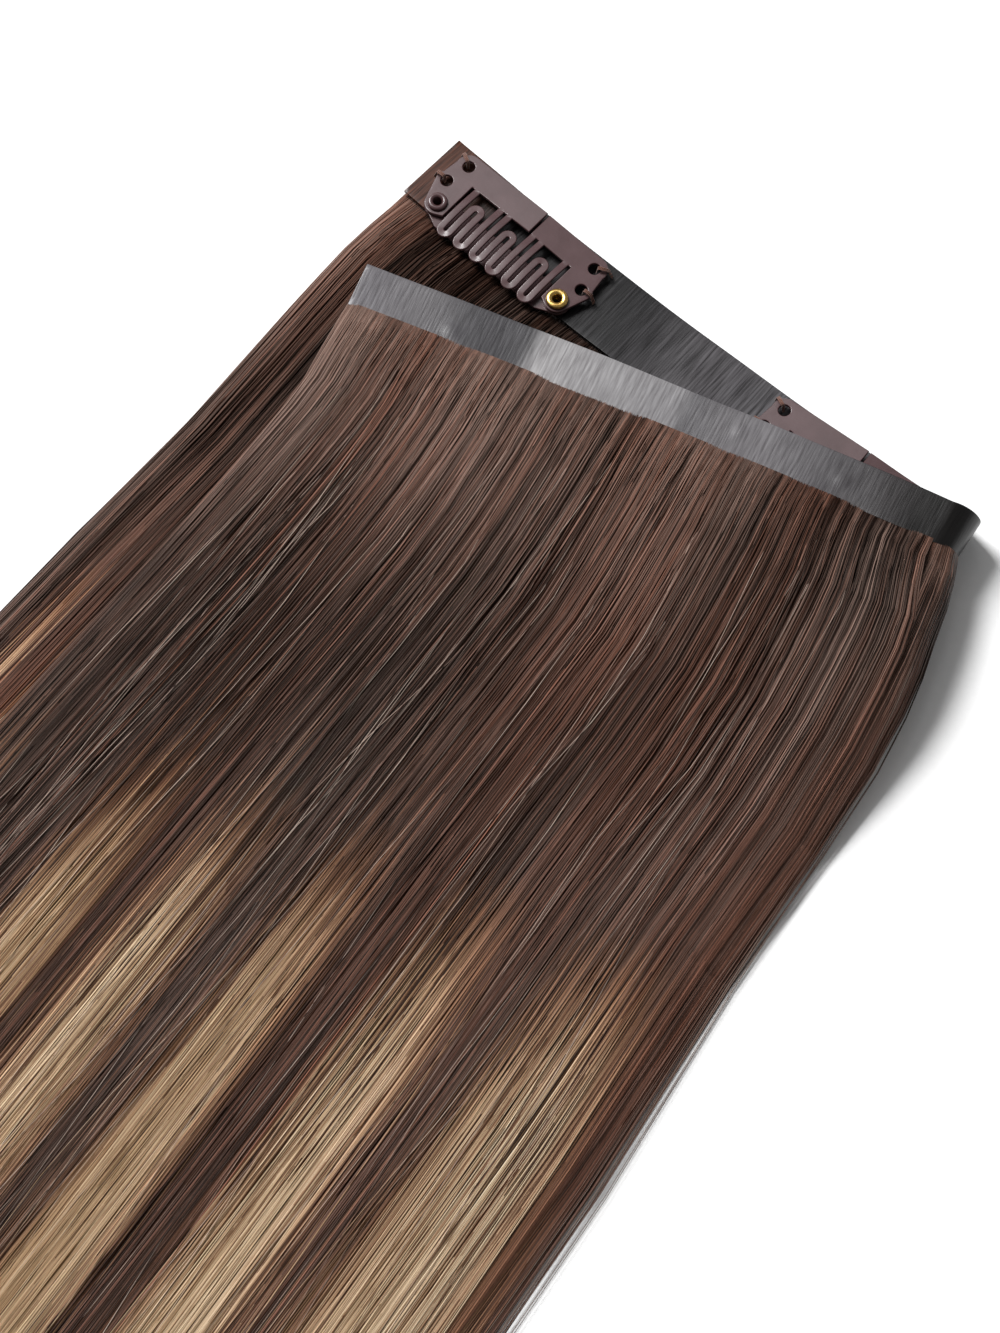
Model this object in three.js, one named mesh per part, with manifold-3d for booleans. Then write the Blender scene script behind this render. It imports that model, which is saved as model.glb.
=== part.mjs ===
// A seamless clip-in hair extension, lying folded in two.
// Straight hair is bonded between the two plies of a film band. The band is folded back on itself at its right
// end: the lower leg has its inner ply and two of the clips up, and the upper leg has its outer ply up and the
// other two clips under it. Millimetres, +X along the band towards the fold, hair towards -Y, +Z up.
import * as THREE from "three";
import { mergeVertices } from "three/addons/utils/BufferGeometryUtils.js";
import Module from "manifold-3d";

const wasm = await Module();
wasm.setup();

// Driving dimensions of the band
const lowerLegLength = 101.9;
const upperLegLength = 100;
const innerPlyWidth = 12.5;
const outerPlyWidth = 7.8;
const plyThickness = 0.6;
const lowerHeadingAtFold = -1;
const lowerHeadingAtEnd = -9;
const upperHeadingAtFold = 9;
const upperHeadingAtEnd = 12;
const foldOffset = 2.4;

// Driving dimensions of a clip: x along it from its middle, y from its long top edge, z from the film's face.
// land is the radius of the plate's lobe about a hole, which runs from one angle to the other.
const clipCount = 4;
const clipEndMargin = 18.3;
const lowerClipFoldMargin = 18.6;
const upperClipFoldMargin = 16.7;
const clipInset = 0.8;
const plateThickness = 0.6;
const plateEndHeight = 1.4;
const plateTilt = 2.5;
const topBarHeight = 4.45;
const slitWidth = 0.4;
const sewingHoleRadius = 1;
const upperSewingHole = { x: 13.35, y: 2.1, land: 2.15, from: 90, to: -12 };
const lowerSewingHole = { x: 14.3, y: 6.2, land: 1.85, from: 35, to: -25 };
const eyeletPlace = { x: 12.7, y: 10.1, land: 2.1, from: -15, to: -110 };
const toothPitch = 1.7;
const toothWidth = 1.15;
const toothThickness = 0.5;
const toothTipDepth = 14.2;
const archTopDepth = 6.2;
const toothRise = 0.5;
const lowerBarTop = 8.1;
const lowerBarBottom = 13.2;
const lowerBarThickness = 0.5;
const eyeletBore = 0.7;
const eyeletShank = 1;
const eyeletRim = 1.78;
const rivetRim = 1.6;
const rimHeight = 0.5;
const sealGap = 0.3;

// Driving dimensions of the hair
const hairLength = 406;
const locksPerLayer = 10;
const rootDepth = 2.3;
const rootStand = 0.6;
const lowerPileHeight = 6;
const upperPileHeight = 12.9;
const lockOverlap = 0.14;
const tipTaper = 46;
const tipSpread = 0.07;

const radians = THREE.MathUtils.degToRad;
const lerp = THREE.MathUtils.lerp;

// Heights and places that follow from those sizes
const clipStack = plateEndHeight + eyeletPlace.x * Math.tan(radians(plateTilt)) + toothRise + plateThickness;
const lowerLegZ = rootDepth + sealGap;
const foldRadius = plyThickness + clipStack + sealGap;
const upperLegZ = lowerLegZ + 2 * foldRadius;
const foldStartX = -(foldRadius + plyThickness);

const legs = {
  lower: {
    length: lowerLegLength,
    start: new THREE.Vector2(foldStartX, foldOffset / 3),
    z: lowerLegZ,
    clipFoldMargin: lowerClipFoldMargin,
    headingAtFold: radians(lowerHeadingAtFold),
    headingAtEnd: radians(lowerHeadingAtEnd),
    inner: 1,
  },
  upper: {
    length: upperLegLength,
    start: new THREE.Vector2(foldStartX, (-2 * foldOffset) / 3),
    z: upperLegZ,
    clipFoldMargin: upperClipFoldMargin,
    headingAtFold: radians(upperHeadingAtFold),
    headingAtEnd: radians(upperHeadingAtEnd),
    inner: -1,
  },
};

// A place on the band's top edge, with the directions across the band and out of its inner face.
function bandPlace(point, heading, normal) {
  const across = new THREE.Vector3(Math.sin(heading), -Math.cos(heading), 0);
  return { point, across, normal };
}

// A leg curves gently in plan, so a place on it lies along a chord at the mean of the two headings.
function legPlace(leg, distance) {
  const turned = (leg.headingAtEnd - leg.headingAtFold) * (distance / leg.length);
  const chord = leg.headingAtFold + turned / 2;
  const point = new THREE.Vector3(
    leg.start.x - distance * Math.cos(chord),
    leg.start.y - distance * Math.sin(chord),
    leg.z,
  );
  return bandPlace(point, leg.headingAtFold + turned, new THREE.Vector3(0, 0, leg.inner));
}

// The fold is a half cylinder whose axis turns a little as the headings of the two legs differ.
function foldPlace(share) {
  const angle = share * Math.PI;
  const heading = lerp(legs.lower.headingAtFold, legs.upper.headingAtFold, share);
  const outward = new THREE.Vector3(
    Math.sin(angle) * Math.cos(heading),
    Math.sin(angle) * Math.sin(heading),
    -Math.cos(angle),
  );
  const centre = new THREE.Vector3(
    foldStartX,
    lerp(legs.lower.start.y, legs.upper.start.y, share),
    lowerLegZ + foldRadius,
  );
  const point = centre.addScaledVector(outward, foldRadius);
  return bandPlace(point, heading, outward.negate());
}

function legPlaces(leg, steps) {
  return Array.from({ length: steps + 1 }, (_, i) => legPlace(leg, (leg.length * i) / steps));
}

function foldPlaces(steps) {
  return Array.from({ length: steps + 1 }, (_, i) => foldPlace(i / steps));
}

// A closed body through rings that all have the same number of points. The outline is one ring laid flat, and it
// says how the two ends are closed.
function loft(rings, outline) {
  const count = outline.length;
  const positions = rings.flat().flatMap((p) => [p.x, p.y, p.z]);
  const index = [];
  for (let r = 0; r + 1 < rings.length; r++) {
    for (let i = 0; i < count; i++) {
      const a = r * count + i;
      const b = r * count + ((i + 1) % count);
      index.push(a, b, b + count, a, b + count, a + count);
    }
  }
  const last = (rings.length - 1) * count;
  const clockwise = THREE.ShapeUtils.isClockWise(outline);
  for (const [a, b, c] of THREE.ShapeUtils.triangulateShape(outline, [])) {
    const [p, q] = clockwise ? [c, b] : [b, c];
    index.push(a, q, p, last + a, last + p, last + q);
  }
  const geometry = new THREE.BufferGeometry();
  geometry.setAttribute("position", new THREE.Float32BufferAttribute(positions, 3));
  geometry.setIndex(index);
  return facingOut(geometry);
}

// Turns every face round when the body is inside out.
function facingOut(geometry) {
  const position = geometry.getAttribute("position");
  const index = geometry.getIndex();
  const [a, b, c] = [new THREE.Vector3(), new THREE.Vector3(), new THREE.Vector3()];
  let volume = 0;
  for (let i = 0; i < index.count; i += 3) {
    a.fromBufferAttribute(position, index.getX(i));
    b.fromBufferAttribute(position, index.getX(i + 1));
    c.fromBufferAttribute(position, index.getX(i + 2));
    volume += a.dot(b.cross(c));
  }
  if (volume < 0) {
    index.array.reverse();
  }
  return geometry;
}

function solidOf(geometry) {
  const bare = new THREE.BufferGeometry();
  bare.setAttribute("position", geometry.getAttribute("position"));
  bare.setIndex(geometry.getIndex());
  const merged = mergeVertices(bare, 1e-4);
  const mesh = new wasm.Mesh({
    numProp: 3,
    vertProperties: merged.getAttribute("position").array,
    triVerts: new Uint32Array(merged.getIndex().array),
  });
  return new wasm.Manifold(mesh);
}

function geometryOf(solid) {
  const mesh = solid.getMesh();
  const geometry = new THREE.BufferGeometry();
  geometry.setAttribute("position", new THREE.BufferAttribute(mesh.vertProperties, 3));
  geometry.setIndex(new THREE.BufferAttribute(mesh.triVerts, 1));
  return geometry;
}

function fuse(geometries) {
  return geometryOf(geometries.map(solidOf).reduce((whole, piece) => whole.add(piece)));
}

// A section drawn in the band's own width and thickness, carried along the band.
function sweepAlongBand(places, section) {
  const rings = places.map(({ point, across, normal }) =>
    section.map((s) => point.clone().addScaledVector(across, s.x).addScaledVector(normal, s.y)),
  );
  return loft(rings, section);
}

function outlineOf(pairs) {
  return pairs.map(([x, y]) => new THREE.Vector2(x, y));
}

// The film band: the inner ply is wider than the outer one, which gives its section an L form.
function weftBand() {
  const places = [
    ...legPlaces(legs.lower, 8).reverse(),
    ...foldPlaces(10).slice(1, -1),
    ...legPlaces(legs.upper, 8),
  ];
  const section = outlineOf([
    [0, -plyThickness],
    [outerPlyWidth, -plyThickness],
    [outerPlyWidth, 0],
    [innerPlyWidth, 0],
    [innerPlyWidth, plyThickness],
    [0, plyThickness],
  ]);
  return sweepAlongBand(places, section);
}

// Depth below the clip's top edge is a negative y in its own frame. A hole is drawn against its shape's own turn.
function circleHole({ x, y }, radius, clockwise) {
  return new THREE.Path().absarc(x, -y, radius, 0, 2 * Math.PI, clockwise);
}

function extrudeFlat(shape, thickness, curveSegments) {
  return new THREE.ExtrudeGeometry(shape, { depth: thickness, bevelEnabled: false, curveSegments });
}

const mirrored = (hole) => ({ ...hole, x: -hole.x });

// One half of the plate: its part of the top bar and the lobed end plate with its three holes. side is 1 on the
// right and -1 on the left, and innerEnd is where the top bar meets the slit.
function plateHalfShape(innerEnd, side) {
  const place = side > 0 ? (hole) => hole : mirrored;
  const [high, low, eyelet] = [upperSewingHole, lowerSewingHole, eyeletPlace].map(place);
  const endPlateInner = side * (6 * toothPitch + (toothPitch - toothWidth) / 2);
  const shape = new THREE.Shape();
  const turn = (angle) => (side > 0 ? angle : Math.PI - angle);
  const lobe = ({ x, y, land, from, to }) =>
    shape.absarc(x, -y, land, turn(radians(from)), turn(radians(to)), side > 0);
  shape.moveTo(innerEnd, 0);
  shape.lineTo(high.x - (side * high.land) / 2, 0);
  lobe(high);
  lobe(low);
  lobe(eyelet);
  shape.lineTo(endPlateInner, -eyelet.y - 0.6 * eyelet.land);
  shape.lineTo(endPlateInner, -topBarHeight);
  shape.lineTo(innerEnd, -topBarHeight);
  shape.closePath();
  shape.holes.push(circleHole(high, sewingHoleRadius, side < 0));
  shape.holes.push(circleHole(low, sewingHoleRadius, side < 0));
  shape.holes.push(circleHole(eyelet, eyeletShank + sealGap, side < 0));
  return shape;
}

// Height of the plate's middle above the film: both halves rise from their eyelets towards the slit.
function plateHeight(x, side) {
  return plateEndHeight + (eyeletPlace.x - side * x) * Math.tan(radians(plateTilt));
}

function plateHalf(innerEnd, side) {
  const geometry = extrudeFlat(plateHalfShape(innerEnd, side), plateThickness, 4);
  geometry.translate(0, 0, -plateThickness / 2);
  geometry.applyMatrix4(new THREE.Matrix4().makeShear(0, -side * Math.tan(radians(plateTilt)), 0, 0, 0, 0));
  geometry.translate(0, 0, plateHeight(0, side));
  return geometry;
}

// One of the three serpentines under the top bar: down, round a tooth, up over the arch under the window, down,
// round a tooth and up again. Each place along it has its depth and its share of the rise over the lower bar.
function serpentine(middle) {
  const bend = toothPitch / 2;
  const toothY = toothTipDepth - toothWidth / 2 - bend;
  const archY = archTopDepth + toothWidth / 2 + bend;
  const outerLeg = toothPitch + bend;
  const midLeg = (toothY + archY) / 2;
  const half = [{ x: -outerLeg, y: topBarHeight * 0.8 }, { x: -outerLeg, y: archTopDepth }];
  half.push({ x: -outerLeg, y: midLeg });
  for (let i = 0; i <= 4; i++) {
    const angle = Math.PI * (1 - i / 4);
    half.push({ x: bend * Math.cos(angle) - toothPitch, y: toothY + bend * Math.sin(angle) });
  }
  half.push({ x: -bend, y: midLeg });
  const arch = [];
  for (let i = 0; i <= 4; i++) {
    const angle = Math.PI * (1 - i / 4);
    arch.push({ x: bend * Math.cos(angle), y: archY - bend * Math.sin(angle) });
  }
  const path = [...half, ...arch, ...half.map(({ x, y }) => ({ x: -x, y })).reverse()];
  return path.map(({ x, y }) => {
    const plan = { x: x + middle, y };
    const side = plan.x < 0 ? -1 : 1;
    const along = THREE.MathUtils.clamp((y - topBarHeight) / (toothTipDepth - topBarHeight), 0, 1);
    return new THREE.Vector3(plan.x, -y, plateHeight(plan.x, side) + toothRise * Math.sin(Math.PI * along));
  });
}

// A flat wire with chamfered edges, level across its width, along a path.
function flatWire(path, width, thickness) {
  const [w, t] = [width / 2, thickness / 2];
  const section = outlineOf([
    [-w, 0],
    [-0.6 * w, -t],
    [0.6 * w, -t],
    [w, 0],
    [0.6 * w, t],
    [-0.6 * w, t],
  ]);
  const rings = path.map((point, i) => {
    const before = path[Math.max(i - 1, 0)];
    const after = path[Math.min(i + 1, path.length - 1)];
    const side = new THREE.Vector3(after.y - before.y, before.x - after.x, 0).normalize();
    return section.map((s) => point.clone().addScaledVector(side, s.x).add(new THREE.Vector3(0, 0, s.y)));
  });
  return loft(rings, section);
}

function combPlate() {
  const windowEdge = 1.5 * toothPitch - toothWidth / 2;
  const serpentineSpacing = 4 * toothPitch;
  const pieces = [
    plateHalf(windowEdge - slitWidth, -1),
    plateHalf(windowEdge, 1),
    ...[-1, 0, 1].map((i) => flatWire(serpentine(i * serpentineSpacing), toothWidth, toothThickness)),
  ];
  return fuse(pieces);
}

// The bar behind the teeth, with a round land about each rivet.
function lowerBar() {
  const shape = new THREE.Shape();
  const { x, y, land } = eyeletPlace;
  const inner = x - land;
  shape.moveTo(-inner, -lowerBarBottom);
  shape.lineTo(inner, -lowerBarBottom);
  shape.absarc(x, -y, land, radians(-90), radians(90), false);
  shape.lineTo(inner, -lowerBarTop);
  shape.lineTo(-inner, -lowerBarTop);
  shape.absarc(-x, -y, land, radians(90), radians(270), false);
  shape.closePath();
  shape.holes.push(circleHole(eyeletPlace, eyeletShank + sealGap, true));
  shape.holes.push(circleHole(mirrored(eyeletPlace), eyeletShank + sealGap, true));
  const geometry = extrudeFlat(shape, lowerBarThickness, 4);
  geometry.translate(0, 0, sealGap);
  return geometry;
}

// A hollow rivet: the shank goes through the lower bar and the plate, and the rim is rolled over the plate.
function rivet(rim) {
  const tiltAllowance = rim * Math.tan(radians(plateTilt));
  const under = plateEndHeight + plateThickness / 2 + sealGap / 2 + tiltAllowance;
  const profile = outlineOf([
    [eyeletBore, sealGap],
    [eyeletShank, sealGap],
    [eyeletShank, under],
    [rim, under],
    [rim - 0.4 * rimHeight, under + rimHeight],
    [eyeletBore, under + rimHeight],
    [eyeletBore, sealGap],
  ]);
  const geometry = new THREE.LatheGeometry(profile, 10);
  geometry.rotateX(Math.PI / 2);
  return geometry;
}

// The pile from above and from the side. at is the share of the hair's length below the fold, the four edges are
// shares of the lower leg's length to the right of the fold, and the tops are shares of the two pile heights.
const pile = [
  { at: 0.135, lowerLeft: -1.105, lowerRight: 0.029, upperLeft: -0.967, upperRight: 0.111, lowerTop: 1, upperTop: 1 },
  { at: 0.21, lowerLeft: -1.138, lowerRight: 0.032, upperLeft: -0.996, upperRight: 0.123, lowerTop: 0.99, upperTop: 0.95 },
  { at: 0.32, lowerLeft: -1.183, lowerRight: 0.02, upperLeft: -1.04, upperRight: 0.151, lowerTop: 0.9, upperTop: 0.84 },
  { at: 0.44, lowerLeft: -1.217, lowerRight: -0.01, upperLeft: -1.07, upperRight: 0.172, lowerTop: 0.82, upperTop: 0.75 },
  { at: 0.59, lowerLeft: -1.246, lowerRight: -0.049, upperLeft: -1.09, upperRight: 0.186, lowerTop: 0.7, upperTop: 0.64 },
  { at: 0.79, lowerLeft: -1.256, lowerRight: -0.09, upperLeft: -1.099, upperRight: 0.19, lowerTop: 0.54, upperTop: 0.51 },
  { at: 1, lowerLeft: -1.217, lowerRight: -0.137, upperLeft: -1.07, upperRight: 0.162, lowerTop: 0.37, upperTop: 0.36 },
  { at: 1.08, lowerLeft: -1.197, lowerRight: -0.15, upperLeft: -1.06, upperRight: 0.147, lowerTop: 0.33, upperTop: 0.3 },
];

// Where the locks leave the band, by distance from its top edge in widths of the inner ply. flare moves the right
// edge out, as a share of the inner ply's width.
const lowerRoots = [
  { down: 0.7, bottom: 0, top: 0.92 * rootDepth, flare: 0 },
  { down: 1.02, bottom: 0, top: 0.94 * rootDepth, flare: 0 },
  { down: 1.28, bottom: 0, top: 0.6 * lowerPileHeight, flare: 0 },
  { down: 2.05, bottom: 0, top: 0.9 * lowerPileHeight, flare: 0.15 },
];
const upperFloor = upperLegZ + 1.3 * sealGap;
const upperRoots = [
  { down: 0.7, bottom: upperFloor, top: upperLegZ + plyThickness + rootStand, flare: 0 },
  { down: 1.02, bottom: upperFloor, top: upperLegZ + plyThickness + 1.6 * rootStand, flare: 0.05 },
  { down: 1.28, bottom: upperLegZ - plyThickness, top: upperLegZ + plyThickness + 2 * rootStand, flare: 0.2 },
  { down: 1.95, bottom: lerp(upperLegZ, lowerPileHeight, 0.5), top: upperPileHeight, flare: 0.6 },
];

const layers = {
  lower: { leg: legs.lower, left: "lowerLeft", right: "lowerRight", roots: lowerRoots },
  upper: { leg: legs.upper, left: "upperLeft", right: "upperRight", roots: upperRoots },
};

function pileRow(at) {
  const after = pile.findIndex((row) => row.at >= at);
  if (after < 0) {
    return pile[pile.length - 1];
  }
  const [a, b] = [pile[Math.max(after - 1, 0)], pile[after]];
  const share = a === b ? 0 : (at - a.at) / (b.at - a.at);
  return Object.fromEntries(Object.keys(b).map((key) => [key, lerp(a[key], b[key], share)]));
}

// Heights of a layer at a row of the pile: the lower layer lies on the surface, the upper one just over it.
function layerHeights(layer, row) {
  const split = row.lowerTop * lowerPileHeight;
  if (layer === layers.lower) {
    return { bottom: 0, top: split };
  }
  return { bottom: split + sealGap, top: row.upperTop * upperPileHeight };
}

// The six corners of a lock's section between a left and a right place on the plan.
const lockOutline = outlineOf([
  [0, 0],
  [1, 0],
  [1, 0.5],
  [0.72, 1],
  [0.28, 1],
  [0, 0.5],
]);
function lockRing(left, right, bottom, top) {
  return lockOutline.map(
    (c) => new THREE.Vector3(lerp(left.x, right.x, c.x), lerp(left.y, right.y, c.x), lerp(bottom, top, c.y)),
  );
}

// Shares of the layer's width that a lock covers: neighbours overlap, and the outermost edges stay in place.
function lockSpan(i) {
  return {
    from: Math.max((i - lockOverlap) / locksPerLayer, 0),
    to: Math.min((i + 1 + lockOverlap) / locksPerLayer, 1),
  };
}

// Every other lock of the upper layer lies a little higher, so that neighbours cross cleanly.
const lockStep = (layer, i) => (layer === layers.upper && i % 2 ? 0.7 * sealGap : 0);

function rootRing(layer, root, span, lift, step) {
  const { leg } = layer;
  const edge = (share) => {
    const { point, across } = legPlace(leg, leg.length * (1 - share));
    const place = point.addScaledVector(across, root.down * innerPlyWidth);
    place.x += root.flare * innerPlyWidth * share;
    return place;
  };
  return lockRing(edge(span.from), edge(span.to), root.bottom + step, lerp(root.bottom, root.top, lift));
}

function pileRing(layer, at, span, lift, step, narrowing) {
  const row = pileRow(at);
  const y = -at * hairLength;
  const xAt = (share) => lerp(row[layer.left], row[layer.right], share) * lowerLegLength;
  const [from, to] = [xAt(span.from), xAt(span.to)];
  const middle = (from + to) / 2;
  const { bottom, top } = layerHeights(layer, row);
  const left = { x: lerp(from, middle, narrowing), y };
  const right = { x: lerp(to, middle, narrowing), y };
  return lockRing(left, right, bottom + step, lerp(bottom, top, lift * (1 - 0.6 * narrowing)));
}

// Neighbouring locks differ a little in height and in length, as cut hair does.
const lockLift = (i) => 1 - 0.14 * (((i * 7) % 5) / 4);
const lockShortening = (i) => tipSpread * (((i * 5) % 7) / 6);

// One lock, from the band to its thin tip.
function lock(layer, i) {
  const span = lockSpan(i);
  const lift = lockLift(i);
  const middle = (span.from + span.to) / 2;
  const rootY = legPlace(layer.leg, layer.leg.length * (1 - middle)).point.y - outerPlyWidth;
  const tipAt = -rootY / hairLength + 1 - lockShortening(i);
  const taperAt = tipAt - tipTaper / hairLength;
  const step = lockStep(layer, i);
  const rings = layer.roots.map((root) => rootRing(layer, root, span, lerp(1, lift, 0.5), step));
  rings.push(...pile.filter((row) => row.at < taperAt).map((row) => pileRing(layer, row.at, span, lift, step, 0)));
  rings.push(pileRing(layer, taperAt, span, lift, step, 0));
  rings.push(pileRing(layer, lerp(taperAt, tipAt, 0.65), span, lift, step, 0.4));
  rings.push(pileRing(layer, tipAt, span, lift, step, 0.9));
  return loft(rings, lockOutline);
}

// The strip of bonded hair that all locks of a layer start from. It lies on the outer side of the inner ply.
function rootStrip(places, depth) {
  const [near, far] = [outerPlyWidth + sealGap, 1.12 * innerPlyWidth];
  const section = outlineOf([
    [near, -sealGap],
    [far, -sealGap],
    [far, -sealGap - depth],
    [near, -sealGap - depth],
  ]);
  return sweepAlongBand(places, section);
}

function hairLower() {
  const places = legPlaces(legs.lower, 8);
  const locks = Array.from({ length: locksPerLayer }, (_, i) => lock(layers.lower, i));
  return fuse([rootStrip(places.slice(1), 0.5 * rootDepth), ...locks]);
}

// The first sections of the fold's own lock. down is in widths of the inner ply from the upper leg's start, left and
// right are in radii of the fold from the fold's start and from its outermost place, and bottom and top are heights.
const foldRoots = [
  { down: 1.03, left: 0.3, right: 0.38, bottom: lowerLegZ - plyThickness, top: upperLegZ + plyThickness },
  { down: 1.28, left: 0.36, right: 0.91, bottom: 0, top: upperLegZ + 1.5 * plyThickness },
  { down: 2.05, left: 0.71, right: 1.77, bottom: 0, top: 0.97 * upperPileHeight },
];
const foldLockHeight = 0.86;
const foldLockEnd = 0.79;

// The hair of the fold falls beside the lower layer and reaches the surface.
function foldLock() {
  const rings = foldRoots.map(({ down, left, right, bottom, top }) => {
    const y = legs.upper.start.y - down * innerPlyWidth;
    return lockRing({ x: foldStartX + left * foldRadius, y }, { x: right * foldRadius, y }, bottom, top);
  });
  for (const row of pile.filter(({ at }) => at <= foldLockEnd)) {
    const y = -row.at * hairLength;
    const left = { x: row.lowerRight * lowerLegLength + sealGap, y };
    const right = { x: row.upperRight * lowerLegLength, y };
    rings.push(lockRing(left, right, 0, foldLockHeight * row.upperTop * upperPileHeight));
  }
  const y = -foldLockEnd * hairLength - tipTaper;
  const tipX = pileRow(-y / hairLength).upperRight * lowerLegLength - 0.4 * innerPlyWidth;
  rings.push(lockRing({ x: tipX, y }, { x: tipX + 0.3 * innerPlyWidth, y }, 0, 0.2 * upperPileHeight));
  return loft(rings, lockOutline);
}

function hairUpper() {
  const places = [...foldPlaces(8).slice(1), ...legPlaces(legs.upper, 8).slice(1)];
  const locks = Array.from({ length: locksPerLayer }, (_, i) => lock(layers.upper, i));
  return fuse([rootStrip(places, rootStand), ...locks, foldLock()]);
}

const finish = {
  film: new THREE.MeshStandardMaterial({ color: "#6f6d70", roughness: 0.3, metalness: 0 }),
  hair: new THREE.MeshStandardMaterial({ color: "#4a362d", roughness: 0.5, metalness: 0 }),
  paint: new THREE.MeshStandardMaterial({ color: "#725f60", roughness: 0.4, metalness: 0.2 }),
  brass: new THREE.MeshStandardMaterial({ color: "#c8a45a", roughness: 0.25, metalness: 1 }),
};

function piece(name, geometry, material, at) {
  const mesh = new THREE.Mesh(geometry, material);
  mesh.name = name;
  if (at) {
    mesh.position.set(at.x, -at.y, 0);
  }
  return mesh;
}

// Distance of a clip's middle from the start of the fold, and the leg that it is sewn to. The clips of a leg are
// spread evenly between their margins from its free end and from the fold.
function clipSeat(number) {
  const perLeg = clipCount / 2;
  const leg = number <= perLeg ? legs.lower : legs.upper;
  const fromEnd = leg === legs.lower ? number - 1 : clipCount - number;
  const distance = lerp(leg.length - clipEndMargin, leg.clipFoldMargin, fromEnd / (perLeg - 1));
  return { leg, distance };
}

const clipParts = {
  plate: combPlate(),
  lowerBar: lowerBar(),
  rivet: rivet(rivetRim),
  eyelet: rivet(eyeletRim),
};

// A clip stands on the inner face of its leg, with its long edge just inside the band's top edge.
function clip(number) {
  const { leg, distance } = clipSeat(number);
  const { point, across, normal } = legPlace(leg, distance);
  const group = new THREE.Group();
  const up = across.clone().negate();
  const along = new THREE.Vector3().crossVectors(up, normal);
  group.quaternion.setFromRotationMatrix(new THREE.Matrix4().makeBasis(along, up, normal));
  group.position.copy(point).addScaledVector(across, clipInset).addScaledVector(normal, plyThickness);
  const name = `clip_${number}`;
  group.add(
    piece(`${name}_plate`, clipParts.plate, finish.paint),
    piece(`${name}_lower_bar`, clipParts.lowerBar, finish.paint),
    piece(`${name}_rivet`, clipParts.rivet, finish.paint, mirrored(eyeletPlace)),
    piece(`${name}_eyelet`, clipParts.eyelet, finish.brass, eyeletPlace),
  );
  return group;
}

const assembly = new THREE.Group();
assembly.add(
  piece("weft_band", weftBand(), finish.film),
  piece("hair_lower", hairLower(), finish.hair),
  piece("hair_upper", hairUpper(), finish.hair),
  ...Array.from({ length: clipCount }, (_, i) => clip(i + 1)),
);

// The origin is the middle of the extension's box, on the surface that it lies on.
const box = new THREE.Box3().setFromObject(assembly);
const middle = box.getCenter(new THREE.Vector3());
assembly.position.set(-middle.x, -middle.y, -box.min.z);

const extension = new THREE.Group();
extension.add(assembly);

export default extension;
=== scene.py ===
"""Looks of the clip-in hair extension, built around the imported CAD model.

Sizes are in millimetres until a mesh is placed, and the placed meshes are in metres in the row frame.
"""

import math

import bpy
import numpy as np
from mathutils import Matrix, Vector


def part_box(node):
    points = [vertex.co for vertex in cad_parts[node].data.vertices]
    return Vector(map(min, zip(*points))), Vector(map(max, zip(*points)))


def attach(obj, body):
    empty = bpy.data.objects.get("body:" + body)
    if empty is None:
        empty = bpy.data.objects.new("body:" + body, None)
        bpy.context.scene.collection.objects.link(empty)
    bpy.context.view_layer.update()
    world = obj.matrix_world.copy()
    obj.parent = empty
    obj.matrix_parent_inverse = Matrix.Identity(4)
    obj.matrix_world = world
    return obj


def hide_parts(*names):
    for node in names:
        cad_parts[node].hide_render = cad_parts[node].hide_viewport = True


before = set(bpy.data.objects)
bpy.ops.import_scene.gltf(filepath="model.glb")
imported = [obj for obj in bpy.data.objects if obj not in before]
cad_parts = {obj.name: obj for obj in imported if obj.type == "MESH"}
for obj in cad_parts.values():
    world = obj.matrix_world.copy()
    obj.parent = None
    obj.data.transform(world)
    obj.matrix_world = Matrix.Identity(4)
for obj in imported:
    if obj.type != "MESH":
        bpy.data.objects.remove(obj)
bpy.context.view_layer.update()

MM = 0.001
random = np.random.default_rng(20)
scene = bpy.context.scene


# Ways of working

def select_only(*objects):
    bpy.ops.object.select_all(action="DESELECT")
    for one in objects:
        one.select_set(True)
    bpy.context.view_layer.objects.active = objects[0]


def apply_modifier(piece, kind, **settings):
    modifier = piece.modifiers.new(kind.title(), kind)
    for name, value in settings.items():
        setattr(modifier, name, value)
    select_only(piece)
    bpy.ops.object.modifier_apply(modifier=modifier.name)


def smooth(piece, degrees=40):
    select_only(piece)
    bpy.ops.object.shade_smooth_by_angle(angle=math.radians(degrees))
    apply_modifier(piece, "WEIGHTED_NORMAL", keep_sharp=True)


def new_object(name, data):
    thing = bpy.data.objects.new(name, data)
    scene.collection.objects.link(thing)
    return thing


def vertices_of(piece):
    places = np.empty(len(piece.data.vertices) * 3)
    piece.data.vertices.foreach_get("co", places)
    return places.reshape(-1, 3)


def set_vertices(piece, places):
    piece.data.vertices.foreach_set("co", np.asarray(places, float).ravel())
    piece.data.update()


def join(name, *objects):
    select_only(*objects)
    bpy.ops.object.join()
    objects[0].name = name
    objects[0].data.name = name
    return objects[0]


def belongs(piece, replaced=()):
    """Puts the piece in its body and hides the solids that it stands for."""
    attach(piece, "root")
    if replaced:
        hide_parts(*replaced)
    return piece


def smoothstep(low, high, value):
    share = np.clip((value - low) / (high - low), 0, 1)
    return share * share * (3 - 2 * share)


# The band's course, as in the solids: two legs that curve in plan, and the half-round fold between them.
# Headings are at the fold and at the free end, in degrees.

LEG_HEADINGS = {"lower": (-1, -9), "upper": (9, 12)}
LEG_LENGTHS = {"lower": 101.9, "upper": 100}
LEG_STARTS = {"lower": (-4.554, 0.8), "upper": (-4.554, -1.6)}
LEG_HEIGHTS = {"lower": 2.6, "upper": 10.509}
FOLD_RADIUS = 3.954
INNER_PLY = 12.5
OUTER_PLY = 7.8
PLY = 0.6


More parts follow.
